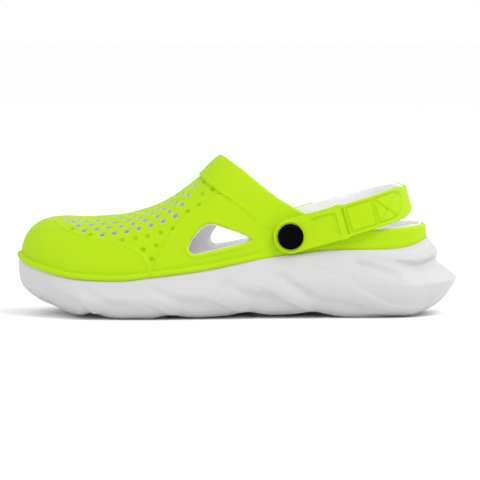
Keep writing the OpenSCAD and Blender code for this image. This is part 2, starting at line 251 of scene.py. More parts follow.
def make(name, v, f, material, node=None, body="clog", sharp=38):
    """A Blender object from points in mm and faces, some of which may be triangles."""
    v = np.asarray(v, float) * MM
    polys = []
    for q in np.asarray(f).tolist():
        p = [q[k] for k in range(len(q)) if q[k] != q[k - 1]]
        if len(set(p)) >= 3:
            polys.append(p)
    mesh = bpy.data.meshes.new(name)
    mesh.from_pydata(v.tolist(), [], polys)
    mesh.validate()
    mesh.update()
    return dress(name, mesh, material, node, body, sharp)


def dress(name, mesh, material, node=None, body="clog", sharp=38):
    """Puts a mesh in the scene with its material, ties it to its body, and hides the CAD node that it
    replaces.
    """
    ob = bpy.data.objects.new(name, mesh)
    bpy.context.scene.collection.objects.link(ob)
    mesh.materials.clear()
    mesh.materials.append(material)
    mesh.shade_smooth()
    mesh.set_sharp_from_angle(angle=math.radians(sharp))
    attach(ob, body)
    if node:
        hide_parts(node)
    return ob


def away(points, path):
    """Distance from each point to a polyline, how far along the nearest point is, and the side."""
    a, b = path[:-1], path[1:]
    d = b - a
    long = np.maximum((d * d).sum(1), 1e-9)
    best = np.full(len(points), 1e9)
    along = np.zeros(len(points))
    side = np.zeros(len(points))
    total = np.concatenate([[0], np.cumsum(np.sqrt(long))])
    for k in range(len(a)):
        w = points - a[k]
        t = np.clip((w @ d[k]) / long[k], 0, 1)
        gap = w - t[:, None] * d[k]
        r = np.linalg.norm(gap, axis=1)
        near = r < best
        best = np.where(near, r, best)
        along = np.where(near, (total[k] + t * math.sqrt(long[k])) / total[-1], along)
        if points.shape[1] == 2:
            turn = np.sign(d[k][0] * w[:, 1] - d[k][1] * w[:, 0])
            side = np.where(near, turn, side)
    return best, along, side


def inside(points, polygon):
    """True where a 2-D point is in a polygon."""
    x, y = points[:, 0], points[:, 1]
    odd = np.zeros(len(points), bool)
    for (ax, ay), (bx, by) in zip(polygon, np.roll(polygon, -1, 0)):
        hit = ((ay > y) != (by > y)) & (x < (bx - ax) * (y - ay) / (by - ay + 1e-12) + ax)
        odd ^= hit
    return odd


def bump(r, width):
    """Round ridge of height 1 at r = 0."""
    return np.exp(-(r / width) ** 2)


# ---------------------------------------------------------------- materials
def rgb(r, g, b):
    """Linear colour from 0 to 255 screen values."""
    out = []
    for c in (r, g, b):
        c /= 255
        out.append(c / 12.92 if c <= 0.04045 else ((c + 0.055) / 1.055) ** 2.4)
    return (*out, 1)


def moulded(name, low, high, rough, grain, grain_size, blotch, specular=0.35, edge_highlight=None):
    """Moulded foam or plastic: slow colour drift, fine skin texture, and a painted highlight that
    makes convex edges paler.
    """
    m = bpy.data.materials.new(name)
    m.use_nodes = True
    t = m.node_tree
    t.nodes.clear()
    out = t.nodes.new("ShaderNodeOutputMaterial")
    s = t.nodes.new("ShaderNodeBsdfPrincipled")
    t.links.new(s.outputs[0], out.inputs[0])
    place = t.nodes.new("ShaderNodeTexCoord")
    drift = t.nodes.new("ShaderNodeTexNoise")
    drift.inputs["Scale"].default_value = blotch
    drift.inputs["Detail"].default_value = 3
    t.links.new(place.outputs["Object"], drift.inputs["Vector"])
    mix = t.nodes.new("ShaderNodeMix")
    mix.data_type = "RGBA"
    mix.inputs[6].default_value = low
    mix.inputs[7].default_value = high
    t.links.new(drift.outputs["Fac"], mix.inputs[0])
    colour = mix.outputs[2]
    # painted highlight: where the surface is convex the colour turns paler, as if the edge caught the
    # light
    if edge_highlight:
        shape = t.nodes.new("ShaderNodeNewGeometry")
        ramp = t.nodes.new("ShaderNodeValToRGB")
        ramp.color_ramp.elements[0].position = 0.52
        ramp.color_ramp.elements[1].position = 0.6
        t.links.new(shape.outputs["Pointiness"], ramp.inputs[0])
        edge = t.nodes.new("ShaderNodeMix")
        edge.data_type = "RGBA"
        edge.inputs[7].default_value = edge_highlight
        t.links.new(ramp.outputs[0], edge.inputs[0])
        t.links.new(colour, edge.inputs[6])
        colour = edge.outputs[2]
    t.links.new(colour, s.inputs["Base Color"])
    skin = t.nodes.new("ShaderNodeTexNoise")
    skin.inputs["Scale"].default_value = grain_size
    skin.inputs["Detail"].default_value = 4
    skin.inputs["Roughness"].default_value = 0.6
    t.links.new(place.outputs["Object"], skin.inputs["Vector"])
    cells = t.nodes.new("ShaderNodeTexVoronoi")
    cells.inputs["Scale"].default_value = grain_size * 0.7
    t.links.new(place.outputs["Object"], cells.inputs["Vector"])
    add = t.nodes.new("ShaderNodeMath")
    add.operation = "MULTIPLY_ADD"
    add.inputs[1].default_value = 0.5
    t.links.new(cells.outputs["Distance"], add.inputs[0])
    t.links.new(skin.outputs["Fac"], add.inputs[2])
    b = t.nodes.new("ShaderNodeBump")
    b.inputs["Strength"].default_value = grain
    b.inputs["Distance"].default_value = 0.0002
    t.links.new(add.outputs[0], b.inputs["Height"])
    t.links.new(b.outputs[0], s.inputs["Normal"])
    spread = t.nodes.new("ShaderNodeMapRange")
    spread.inputs["To Min"].default_value = rough - 0.06
    spread.inputs["To Max"].default_value = rough + 0.08
    t.links.new(skin.outputs["Fac"], spread.inputs["Value"])
    t.links.new(spread.outputs[0], s.inputs["Roughness"])
    s.inputs["Specular IOR Level"].default_value = specular
    return m


# lime foam; its convex edges take a paler colour as a painted highlight
LIME = moulded("lime_foam", rgb(161, 197, 1), rgb(167, 204, 3), 0.6, 0.25, 900, 14,
               specular=0.16, edge_highlight=rgb(176, 216, 8))
WHITE = moulded("white_foam", rgb(188, 188, 189), rgb(194, 194, 194), 0.62, 0.25, 800, 10)
# a lighter copy of the sole's white: painted light that offsets the shade under the sole
LIT_TREAD = moulded("white_tread", rgb(220, 220, 219), rgb(229, 229, 227), 0.7, 0.35, 1100, 16)
BED = moulded("grey_footbed", rgb(208, 208, 208), rgb(217, 217, 216), 0.75, 0.45, 700, 18)
LINING = moulded("white_lining", rgb(240, 238, 241), rgb(247, 245, 248), 0.68, 0.3, 1000, 14)
# a grey copy of the lining: painted shade for the inside of the vents
SHADED_SLEEVE = moulded("vent_lining_painted_shade", rgb(196, 194, 202), rgb(206, 204, 212), 0.68, 0.3, 1000, 14)
BLACK = moulded("black_plastic", rgb(0, 0, 0), rgb(3, 3, 3), 0.55, 0.1, 1500, 40, specular=0.03)


# ---------------------------------------------------------------- cuts through the upper
def fall(x, y):
    """How far the foot opening's rim is lower toward the inner side, in front of the heel."""
    return 0.08 * (1 - ease((x - 45) / 45)) * (y + 38 * ease((x + 15) / 22))


def mouth_field(lift):
    """Keeps what is below the foot opening's edge."""
    front, back, over_all = MOUTH[0][0], MOUTH[-1][0], 140
    xs = np.linspace(front, back, 220)
    path = np.stack([xs, np.interp(xs, *np.array(MOUTH).T) + lift], 1)
    path = np.concatenate([[[front, over_all]], path])

    def side(v):
        p = np.stack([v[:, 0], v[:, 2] + fall(v[:, 0], v[:, 1])], 1)
        above = (p[:, 0] > front) & (p[:, 1] > np.interp(p[:, 0], path[:, 0], path[:, 1]))
        return away(p, path)[0] * np.where(above, -1, 1)

    def field(v):
        value = side(v)
        g = np.stack([side(v + d) - side(v - d) for d in 0.05 * np.eye(3)], 1)
        return value, g / np.maximum(np.linalg.norm(g, axis=1), 1e-9)[:, None]

    return field


def window_shape(inward=0.0):
    """The window's edge seen from the side, moved into the window by inward."""
    p = arcs(WINDOW, 8)
    way = np.roll(p, -1, 0) - np.roll(p, 1, 0)
    return p + inward * np.stack([-way[:, 1], way[:, 0]], 1) / np.linalg.norm(way, axis=1)[:, None]


def window_value(v, polygon):
    """Signed distance from the window's edge in the side view: negative in the window."""
    shift = np.where(v[:, 1] > 0, WINDOW_SHIFT, 0.0)
    p = v[:, [0, 2]] - np.stack([shift, np.zeros(len(v))], 1)
    loop = np.concatenate([polygon, polygon[:1]])
    # only the part of each flank round the window is measured
    near = ((p[:, 0] > -50) & (p[:, 0] < 25) & (p[:, 1] > 30) & (p[:, 1] < 80)
            & (np.abs(v[:, 1]) > 15))
    r = np.full(len(v), FAR_OFF)
    r[near] = away(p[near], loop)[0]
    r[near] *= np.where(inside(p[near], polygon), -1, 1)
    return r


def window_field(inward):
    """Keeps what is outside the windows."""
    polygon = window_shape(inward)

    def field(v):
        value = window_value(v, polygon)
        eps = 0.05
        close = np.abs(value) < 6
        g = np.zeros_like(v)
        for k in (0, 2):
            d = np.zeros(3)
            d[k] = eps
            g[close, k] = window_value(v[close] + d, polygon) - window_value(v[close] - d, polygon)
        return value, g / np.maximum(np.linalg.norm(g, axis=1), 1e-9)[:, None]

    return field


def half_widths(x):
    """Distance from the middle line y = 0 to the outline on the near and the far side."""
    near = KNOTS[TOE_AT::-1]
    far = KNOTS[TOE_AT:]
    return curve(x, [(a, -b) for a, b in near]), curve(x, far)


def vamp(x, y):
    """Height of the vamp over a point."""
    c = curve(x, RIDGE_Y)
    near, far = half_widths(x)
    w = np.where(y < c, near + c, far - c)
    e = curve(x, FULLNESS)
    low = curve(x, SEAM) + BOND
    u = np.minimum(np.abs(y - c) / w, 0.99)
    return low + (curve(x, CROWN) - low) * (1 - u ** e) ** (1 / e)


def vamp_axis(x, y):
    """Direction straight out of the vamp over a point."""
    n = np.array([vamp(x - 1, y) - vamp(x + 1, y), vamp(x, y - 1) - vamp(x, y + 1), 2.0])
    return n / np.linalg.norm(n)


def vents():
    """Centre and axis of each vent."""
    out = []
    for side in (-1, 1):
        for r in range(VENT_ROWS):
            y = VENT_MIDDLE + side * (VENT_STEP / 2 + VENT_STEP * r)
            x = min(VENT_FRONT) + VENT_STAGGER[r % 2] - VENT_PITCH
            while x < max(VENT_BACK):
                if VENT_FRONT[r] <= x <= VENT_BACK[r]:
                    out.append((np.array([x, y, float(vamp(x, y))]), vamp_axis(x, y)))
                x += VENT_PITCH
    return out


VENTS = vents()


def spot_value(v, spots, radius):
    """Signed distance from round spots on the surface, and the way out of them."""
    value = np.full(len(v), FAR_OFF)
    way = np.zeros_like(v)
    reach = 9
    for c, n in spots:
        w = v - c
        near = (np.abs(w) < reach).all(1)
        w = w[near]
        flat = w - (w @ n)[:, None] * n
        r = np.linalg.norm(flat, axis=1)
        d = r - radius
        idx = np.nonzero(near)[0]
        better = d < value[idx]
        value[idx[better]] = d[better]
        way[idx[better]] = flat[better] / np.maximum(r[better], 1e-9)[:, None]
    return value, way


def on_vamp(x, z, side):
    """Point of the vamp's side at x and z."""
    c = float(curve(x, RIDGE_Y))
    near, far = half_widths(x)
    w = float(near + c if side < 0 else far - c)
    e = float(curve(x, FULLNESS))
    low = float(curve(x, SEAM)) + BOND
    g = min((z - low) / (float(curve(x, CROWN)) - low), 0.995)
    return np.array([x, c + side * w * (1 - g ** e) ** (1 / e), z])


# ---------------------------------------------------------------- relief of the upper
# lines seen from the side: edge of the toe cap, front edge of the side panel, collar step
PANEL_FRONT = [(-57.5, 31), (-55.1, 38.9), (-51.7, 47), (-46.4, 56.1), (-40.3, 64.5),
               (-32.7, 71.3), (-21.3, 78.9), (-12.3, 84.2)]
COLLAR_STEP = [(-30, 101), (-27.5, 96), (-20, 90), (-12.3, 84.5), (-0.9, 77.3), (8.9, 69.8),
               (23.3, 59.5), (34, 51), (40, 46)]
# edge of the toe cap: x, and angle up from the seam in degrees
TOE_CAP = [(-58.3, 0), (-58.8, 3), (-60.7, 10.2), (-64.6, 19), (-72.1, 27.7), (-79.8, 33.5),
           (-91.1, 38.6), (-100.9, 42.2), (-110, 46.8), (-118, 54), (-123, 64), (-126, 78),
           (-127, 90)]
# blind dimples on the near side: x and z
DIMPLES = [(-112.5, 60.6), (-100.2, 56.6), (-78.4, 53.6), (-69.5, 55), (-61.4, 56.3),
           (-52.5, 58.6), (-44.3, 61.2), (-64.1, 47.5), (-55.2, 50.2), (-58, 41), (-34.1, 72.5),
           (-26.6, 76.6), (-24.5, 84), (-17, 87.4), (-23, 91.5)]
DIMPLE_R, DIMPLE_DEPTH = 1.5, 1.7
# how far each part of the relief stands out, and how high the raised line on its edge is
CAP_RISE, CAP_LINE = 0.55, 0.85
PANEL_RISE, PANEL_LINE = 0.7, 0.6
COLLAR_RISE, COLLAR_LINE = 1.5, 0.55
# width of those lines
LINE_W = 0.9
# mm of surface to one degree of the dome's angle, near the toe cap
DEGREE = 0.85


def side_xz(v):
    """Side-view place of a point, with the inner side's features moved back as its window is."""
    shift = WINDOW_SHIFT * ease((v[:, 1] - 2) / 26) * ease((90 - v[:, 2]) / 20 + 0.3)
    return np.stack([v[:, 0] - shift, v[:, 2]], 1)


def upper_relief(v, angle, height):
    """How far the outer skin of the upper stands out from its base surface."""
    deg = np.degrees(angle)
    p = side_xz(v)
    d = np.zeros(len(v))
    # foxing bead
    size = 0.4 + (BEAD - 0.4) * (1 - ease((v[:, 0] - 2) / 24))
    d += size * np.sqrt(np.clip(1 - ((height - 1.9) / 2.3) ** 2, 0, 1))
    # toe cap, proud of the vamp, with a fine raised line along its edge
    q = np.stack([v[:, 0], deg * DEGREE], 1)
    r, _, turn = away(q, through([(x, a * DEGREE) for x, a in TOE_CAP], 6))
    front = np.where(turn > 0, r, -r)
    front = np.where(v[:, 0] > -58, -np.abs(front), front)
    top = 1 - 0.85 * ease((deg - 50) / 25)
    line = CAP_LINE * bump(r - 0.3, LINE_W) * (height > 3)
    d += (CAP_RISE * ease(front / 1.4 + 0.5) + line) * top
    # side panel
    rp, _, tp = away(p, through(PANEL_FRONT, 6))
    rc, _, tc = away(p, through(COLLAR_STEP, 6))
    collar = np.where(tc > 0, rc, -rc)
    behind = np.where(tp < 0, rp, -rp)
    panel = np.minimum(behind, -collar + 0.5)
    fade = 1 - ease((v[:, 0] - 12) / 20)
    d += (PANEL_RISE * ease(panel / LINE_W + 0.5) + PANEL_LINE * bump(rp, LINE_W) * (collar < 0)
          + COLLAR_LINE * bump(rc, LINE_W) * (behind > 0)) * fade
    # collar, thickest over the instep, with a fine groove along its step
    thick = COLLAR_RISE - 0.8 * ease((v[:, 0] + 14) / 34)
    d += thick * ease(collar / LINE_W + 0.5) * (1 - ease((v[:, 0] - 16) / 18))
    d -= 0.3 * bump(rc, 0.8) * (collar < 0.2) * (v[:, 0] < 26)
    # dimples, those on the far side moved back like its window
    spots = []
    for x, z in DIMPLES:
        for side in (-1, 1):
            at = x + (0 if side < 0 else WINDOW_SHIFT * ease((x + 100) / 45))
            c = on_vamp(at, z, side)
            spots.append((c, vamp_axis(c[0], c[1])))
    flat, _ = spot_value(v, spots, 0)
    d -= DIMPLE_DEPTH * ease(1.7 - 1.2 * flat / DIMPLE_R)
    return d


def fillet(gap, radius):
    """How far a rounded edge falls away, at a distance from the edge."""
    u = np.clip(radius - gap, 0, radius)
    return radius - np.sqrt(np.maximum(radius * radius - u * u, 0))


def seat_pull(v, out, near_face, far_face, radius):
    """Flat seats for the rivets on a skin."""
    flat = np.hypot(v[:, 0] - PIVOT_X, v[:, 2] - PIVOT_Z)
    w = 1 - ease((flat - radius) / 1.2)
    target = np.where(v[:, 1] < 0, -near_face, far_face)
    out = out.copy()
    out[:, 1] += (target - out[:, 1]) * w
    return out


def dome_grid(xs, angles):
    """Points and faces of the dome, and each point's angle and height over the seam."""
    ring, _ = outline(xs)
    rows = [dome(ring, a) for a in angles]
    n = len(ring)
    v = np.concatenate(rows)
    f = ring_faces(n, len(rows))
    angle = np.repeat(angles, n)
    seam = np.tile(curve(ring[:, 0], SEAM) + BOND, len(rows))
    return v, f, angle, v[:, 2] - seam


def stitched(v, f, *others):
    """Joins the two halves of a dome along its ridge."""
    key = np.round(v / 2e-3).astype(np.int64)
    _, first, inverse = np.unique(key, axis=0, return_index=True, return_inverse=True)
    return (v[first], inverse.reshape(-1)[f]) + tuple(o[first] for o in others)


def build_upper():
    """The lime upper: the dome cut open, with its relief outside and a wall's thickness inside."""
    fine = 0.8

    def spacing(x):
        return fine + 0.8 * ease((x + 8) / 14) + 0.5 * ease((-124 - x) / 10)

    xs = stations(spacing)
    angles = dome_angles(0.45, fine)
    v, f, angle, height = dome_grid(xs, angles)
    v, f, angle, height = stitched(v, f, angle, height)
    v, f = carve(v, f, mouth_field(0.0))
    v, f = carve(v, f, window_field(0.0))
    v, f = carve(v, f, lambda p: spot_value(p, VENTS, VENT_D / 2))
    v, f, angle, height = compact(v, f, angle, height)
    f = np.array([q for q in f.tolist() if len(set(q)) >= 3])
    n = normals(v, f)
    mouth_gap, _ = mouth_field(0.0)(v)
    window_gap = window_value(v, window_shape())
    vent_gap, _ = spot_value(v, VENTS, VENT_D / 2)
    d = upper_relief(v, angle, height)
    # raised rim round the window, fullest below it
    low = ease((60 - v[:, 2]) / 14)
    d += (0.25 + 0.45 * low) * ease((3.4 - window_gap) / 1.2) * ease((window_gap + 0.6) / 1.0)
    # rounded edges
    d -= fillet(mouth_gap, 1.1) + fillet(window_gap, 0.8) + fillet(vent_gap, 0.45)
    outer = v + n * d[:, None]
    outer = seat_pull(v, outer, SEAT_NEAR, SEAT_FAR, SEAT_R)
    back = WALL - 0.9 * fillet(mouth_gap, 0.9) - 0.9 * fillet(window_gap, 0.7)
    inner = v - n * back[:, None]
    base = height < 0.02
    inner[base, 2] = v[base, 2]
    ob_v, ob_f = shell(outer, inner, f)
    return make("upper_shell_skin", ob_v, ob_f, LIME, "upper_shell")


def build_lining():
    """The white layer inside the upper."""
    xs = stations(lambda x: 1.7)
    angles = dome_angles(1.2, 1.7)
    v, f, _, height = dome_grid(xs, angles)
    v, f, height = stitched(v, f, height)
    # it shows as a thin white line over the upper's rim and inside the windows' edges
    over, inward = 0.6, 0.4
    v, f = carve(v, f, mouth_field(over))
    v, f = carve(v, f, window_field(inward))
    v, f, height = compact(v, f, height)
    n = normals(v, f)
    mouth_gap, _ = mouth_field(over)(v)
    window_gap = window_value(v, window_shape(inward))
    soft = fillet(mouth_gap, 0.8) + fillet(window_gap, 0.7)
    outer = v - n * (WALL + BOND)
    inner = v - n * (WALL + BOND + LINING_T - soft)[:, None]
    base = height < 0.02
    outer[base, 2] = v[base, 2]
    inner[base, 2] = v[base, 2]
    ob_v, ob_f = shell(outer, inner, f)
    return make("upper_lining_skin", ob_v, ob_f, LINING, "upper_lining")


def lathe(profile, steps, centre, axis):
    """Points and faces of a turned ring about an axis: profile is (radius, height) pairs."""
    axis = axis / np.linalg.norm(axis)
    side = np.cross(axis, [0, 1, 0] if abs(axis[1]) < 0.9 else [1, 0, 0])
    side /= np.linalg.norm(side)
    up = np.cross(axis, side)
    t = np.arange(steps) * 2 * math.pi / steps
    v = [centre + z * axis + r * (np.cos(a) * side + np.sin(a) * up) for r, z in profile for a in t]
    return np.array(v), ring_faces(steps, len(profile))


def build_vent_sleeves():
    """Sleeves of the lining that stand in the vents, coloured grey as painted shade inside the holes.
    """
    profile = [(2.28, -WALL), (2.28, -0.75), (2.2, -0.55), (2.08, -0.47), (1.96, -0.55),
               (1.9, -0.85), (1.86, -WALL + 0.2)]
    vs, fs, base = [], [], 0
    for c, n in VENTS:
        v, f = lathe(profile, 16, c, n)
        vs.append(v)
        fs.append(f + base)
        base += len(v)
    return make("vent_sleeves", np.concatenate(vs), np.concatenate(fs), SHADED_SLEEVE)


# ---------------------------------------------------------------- sole
# side of the sole from the ground up: share of its height, and how far it stands out. Each is
# swept over eleven points, so HEEL's last one only sets the slope at the one before.
FLANK = [(0.03, -5.2), (0.08, -2.0), (0.17, 1.4), (0.29, 4.1), (0.41, 5.6), (0.53, 6), (0.66, 5.2),
         (0.78, 4.2), (0.88, 3.4), (0.95, 2.8), (1, 1.6)]
HEEL = [(0.02, -4), (0.05, 3), (0.14, 10), (0.29, 16.5), (0.39, 19.7), (0.45, 20.7), (0.5, 17.8),
        (0.58, 12.8), (0.68, 7.2), (0.8, 6.8), (0.91, 4.6), (1, 2.2)]
TOE = [(0.02, -22), (0.08, -16.5), (0.16, -11), (0.29, -5), (0.41, -0.9), (0.54, 0.9), (0.67, 1.8),
       (0.78, 2.2), (0.88, 2.3), (0.95, 2.2), (1, 1.6)]
# strokes of the sole's relief, seen from the side: points, width, height
STROKES = [
    ([(76, 38.2), (84, 36.4), (92, 34.6), (103.6, 31.2), (114, 27.8)], 3.0, -1.9),
    ([(104, 38.4), (109, 37.6), (115.2, 36.1), (122.7, 34.8), (130.2, 36.5), (136, 40)], 2.6, -1.8),
    ([(-146, 26), (-136.4, 19.6), (-125.5, 15.7), (-113.2, 11.6), (-103.6, 6.8)], 4.0, -1.3),
    ([(-106, 21), (-98.2, 17), (-89.3, 11.6), (-79.1, 9.5), (-68.2, 8.2)], 3.6, -1.5),
    ([(-62, 23), (-53.2, 19.1), (-41.6, 13.6), (-30, 10.9), (-14.3, 10.9)], 3.6, -1.6),
    ([(-14, 27), (-6.8, 23.2), (8.2, 16), (23.2, 13.9), (31, 12)], 4.2, -2.0),
    ([(24, 31), (30.7, 27.3), (38.2, 21.8), (49.1, 15.7), (56, 13)], 3.8, -2.4),
    ([(50, 14), (64.1, 10.9), (77.7, 8.2), (90, 6.5)], 2.8, -1.4),
]
# edges where one wave laps over the next: points, height, how far it takes to sink back, and the
# share of the line over which it grows. The side to the left of each line stands proud.
LAPS = [
    ([(-118, 19), (-109.5, 14.6), (-102.5, 9), (-96, 3.6), (-92, 0.5)], 1.7, 12, 0.8),
    ([(-72, 15), (-62, 11), (-52, 6.6), (-43, 2.6), (-38, 0.5)], 1.5, 12, 0.8),
    ([(-30, 18), (-18, 13), (-6, 7.8), (5, 4.2), (12, 2)], 1.6, 12, 0.8),
    ([(4, 28), (16, 21.6), (28, 14.6), (40, 9), (50, 4.6), (58, 1.5)], 2.0, 14, 0.8),
    ([(148, 25), (140, 17.4), (128, 10.6), (118.6, 8.2), (105.7, 9.6), (94.8, 13.6), (83.9, 19.1),
      (76.4, 24.5), (65.5, 30.7), (56.6, 34.8), (44.3, 38.9), (36, 41)], 1.6, 9, 0.2),
    ([(122, 25), (112, 25), (100.9, 26.6), (90, 29.6), (81, 32.8), (74, 36), (68, 39)], 1.7, 7, 0.2),
    ([(138, 47.5), (128.2, 43), (118.6, 40.6), (110, 40.4), (103, 41.4)], 1.3, 7, 0.2),
]


def blend_rows(x):
    """Weights of the heel and toe shapes of the sole's side."""
    return ease((x - 84) / 42), ease((-104 - x) / 43)


def tread_in(x):
    """How far the tread's edge lies inside the outline."""
    h, t = blend_rows(x)
    return 6.2 - 1.4 * h + 17 * t


def ground(x):
    """Height of the underside: the toe, the middle waves and the heel lift off the floor."""
    return np.maximum(curve(x, GROUND), 0)


def sole_relief(v):
    """Waves pressed into the sole's side."""
    p = v[:, [0, 2]]
    d = np.zeros(len(v))
    for points, width, high in STROKES:
        r, along, _ = away(p, through(points, 5))
        taper = ease(along / 0.16) * ease((1 - along) / 0.16)
        d += high * bump(r, width) * taper
    for points, high, sink, grow in LAPS:
        r, along, turn = away(p, through(points, 5))
        taper = ease(along / grow) * ease((1 - along) / 0.2)
        proud = np.where(turn > 0, r, -r)
        d += high * ease(proud + 0.5) * np.exp(-(np.maximum(proud, 0) / sink) ** 2) * taper
    return d


def build_midsole():
    """The white sole: underside, waved side, and the well that the footbed lies in."""
    xs = stations(lambda x: 0.9)
    ring, out = outline(xs)
    n = len(ring)
    x = ring[:, 0]
    h, t = blend_rows(x)
    seam = curve(x, SEAM)
    # the side from the ground up, blended from the shapes of the flank, the heel and the toe
    fine = np.linspace(0, len(FLANK) - 1, 74)
    tables = []
    for shape in (FLANK, HEEL, TOE):
        share, stand = np.array(shape, float).T
        at = np.arange(len(shape))
        tables.append(np.stack([curve(fine, np.stack([at, share], 1)),
                                curve(fine, np.stack([at, stand], 1))], 1))
    rows = []
    for flank, heel, toe in zip(*tables):
        s = flank * ((1 - h) * (1 - t))[:, None] + heel * h[:, None] + toe * t[:, None]
        q = ring + out * s[:, 1:2]
        low = ground(q[:, 0])
        rows.append(np.concatenate([q, (low + (seam - low) * s[:, 0])[:, None]], 1))
    side = np.concatenate(rows)
    f = ring_faces(n, len(rows))
    nrm = normals(side, f)
    d = sole_relief(side)
    # fade the relief out at the top edge and round under the edge
    level = np.repeat(np.linspace(0, 1, len(rows)), n)
    d *= ease((1 - level) / 0.06) * ease(level / 0.08)
    side = side + nrm * d[:, None]
    q = ring - out * tread_in(x)[:, None]
    bottom = np.concatenate([q, (ground(q[:, 0]) + TREAD_T + BOND)[:, None]], 1)
    top = [np.concatenate([ring + out * a, (seam + z)[:, None]], 1)
           for a, z in ((1.0, 0.0), (-6.8, 0.0), (-7.1, -0.4), (-7.2, -WELL))]
    rows = [bottom, side] + top
    v = np.concatenate(rows)
    f = ring_faces(n, 1 + len(fine) + len(top))
    caps = cap(n, 0, False) + cap(n, len(v) - n, True)
    return make("midsole_body", v, f.tolist() + caps, WHITE, "midsole", sharp=50)


def cap(n, start, up):
    """Strips across a ring whose points pair up across the middle line, a triangle at each end."""
    h = n // 2
    faces = [[start, start + 1, start + n - 1, start + n - 1]]
    faces += [[start + i, start + i + 1, start + n - i - 1, start + n - i] for i in range(1, h - 1)]
    faces += [[start + h - 1, start + h, start + h + 1, start + h + 1]]
    return faces if up else [q[::-1] for q in faces]


# ---------------------------------------------------------------- strap
def strap_path():
    """The strap's middle line seen from above, tab to tab round the heel, and its length so far."""
    near = -(SEAT_NEAR + TAB_GAP) - STRAP_T / 2
    far = SEAT_FAR + TAB_GAP + STRAP_T / 2
    p = [(s, near) for s in (-24, -12, 0, 12)]
    p += [(26, -46), (42, -45.3), (56, -41.8), (67, -34.6), (76, -22.6), (81.5, -7.6),
          (81.8, 7.4), (76.6, 22.4), (67.5, 34.2), (56, 41.2), (42, 44.5), (26, 44.8)]
    p += [(s, far) for s in (12, 0, -12, -24)]
    fine = arcs(p, 60, False)
    step = np.linalg.norm(np.diff(fine, axis=0), axis=1)
    s = np.concatenate([[0], np.cumsum(step)])
    return fine, s


def strap_half(s):
    """Half the strap's width: a round tab at the pivot, an even arm, narrower round the heel."""
    tab = np.sqrt(np.maximum(TAB_R ** 2 - s * s, 0.2))
    arm = TAB_R + (STRAP_HALF - TAB_R) * ease((s - 37) / 3) + 0.5 * bump(s - 35.5, 2.5)
    return np.where(s < 0, tab, arm - 3.2 * ease((s - 73) / 12) ** 2)


def to_pivot(p):
    """From the strap's own plane to the rest pose."""
    c, s = math.cos(STRAP_RISE), math.sin(STRAP_RISE)
    return np.stack([PIVOT_X + c * p[:, 0] - s * p[:, 2], p[:, 1],
                     PIVOT_Z + s * p[:, 0] + c * p[:, 2]], 1)


def strap_relief(s, z):
    """Height of the strap's outer face over its plain surface: s along from the pivot, z across."""
    p = np.stack([s, z], 1)
    d = np.zeros(len(s))
    # sunk triangle behind the rivet
    tri = np.array([(16.2, 6.6), (17.4, 7.8), (31.6, 7.8), (33, 6.6), (33, -7.4), (32, -8.2),
                    (30.6, -7.6)])
    r, _, _ = away(p, np.concatenate([tri, tri[:1]]))
    d -= 1.3 * ease(np.where(inside(p, tri), r, -r) / 0.9 + 0.35)
    # raised ring round the rivet
    d += 0.45 * bump(np.hypot(s, z) - 10, 0.8) * (s < 8)
    # groove across, then a framed panel and a crossed box
    d -= 1.7 * bump(s - 38.1, 0.7) * ease((9.6 - np.abs(z)) / 0.8)
    panel = np.minimum(np.minimum(s - 40.6, 57.6 - s), 8.4 - np.abs(z))
    d -= 1.1 * bump(panel, 0.65) * (panel > -2)
    box = np.array([(59.4, -8.2), (59.4, 8.4), (73.2, 8.4), (76.2, 6.6), (77.2, 3.4), (74.4, -5),
                    (72, -7.6), (69.4, -8.2)])
    r, _, _ = away(p, np.concatenate([box, box[:1]]))
    d -= 1.1 * bump(r, 0.65)
    within = inside(p, box)
    for a, b in (((59.8, 8), (71.4, -7.4)), ((60.2, -7.6), (74.6, 6.4))):
        r, _, _ = away(p, np.array([a, b]))
        d -= 1.0 * bump(r, 0.65) * within
    return d


